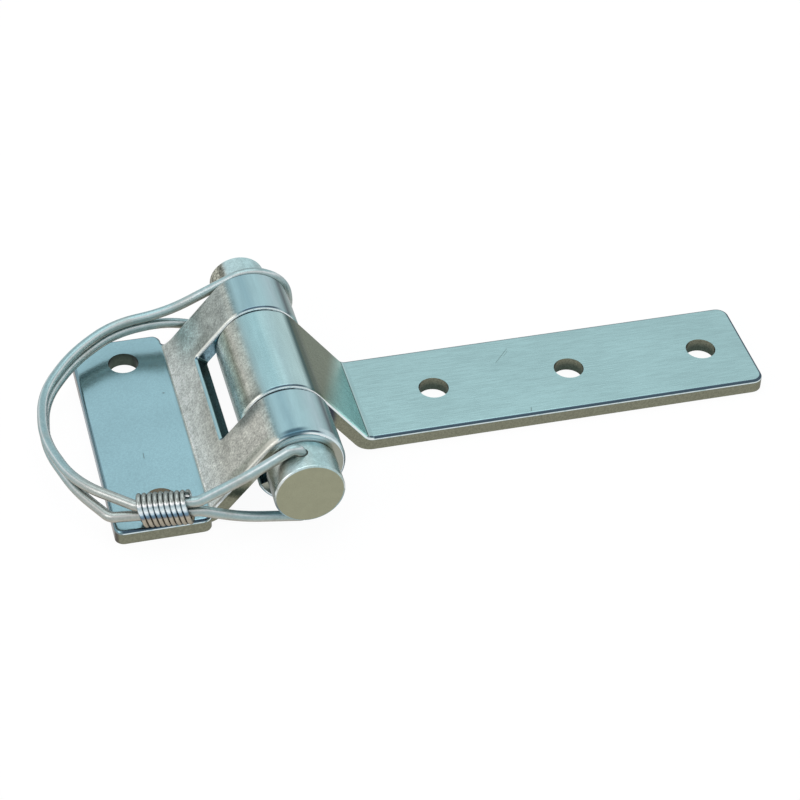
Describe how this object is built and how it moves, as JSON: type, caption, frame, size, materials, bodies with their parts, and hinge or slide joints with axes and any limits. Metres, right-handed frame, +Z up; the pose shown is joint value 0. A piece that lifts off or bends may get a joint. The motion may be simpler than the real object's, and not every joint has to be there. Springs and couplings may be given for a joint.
{
  "type": "lift off hinge",
  "caption": "Rolled-plate strap hinge with a headed pin that draws out, so that the strap leaf lifts off, and a spring-wire clip that holds the pin.",
  "frame": {"origin": "midway between the bracket leaf's two bolt holes, on the leaf's mounting face", "axes": "+Z up from the mounting face, +X from the bracket leaf towards the strap leaf's free end, +Y along the hinge pin from its head to its tip"},
  "size_m": [0.2051, 0.0942, 0.0274],
  "materials": {
    "zinc_plate": "blue-passivated bright zinc on rolled steel plate, satin",
    "zinc_pin": "bright zinc on turned steel, satin",
    "zinc_wire": "bright zinc on spring steel wire"
  },
  "bodies": {
    "bracket": {"bracket_leaf": "zinc_plate"},
    "strap": {"strap_leaf": "zinc_plate"},
    "pin": {"hinge_pin": "zinc_pin"},
    "clip": {"clip_wire": "zinc_wire", "clip_coil": "zinc_wire"}
  },
  "joints": [
    {"name": "strap_swing", "type": "hinge", "parent": "bracket", "child": "strap", "pos_m": [0.0366, 0, 0.015], "axis": [0, -1, 0], "range_deg": [-110, 190]},
    {"name": "pin_draw", "type": "slide", "parent": "bracket", "child": "pin", "axis": [0, -1, 0], "range_m": [0, 0.095]},
    {"name": "clip_swing", "type": "hinge", "parent": "pin", "child": "clip", "pos_m": [0.0366, -0.0413, 0.015], "axis": [-0.108, 0, 0.9942], "range_deg": [0, 180], "deforming": ["clip_wire"]}
  ]
}
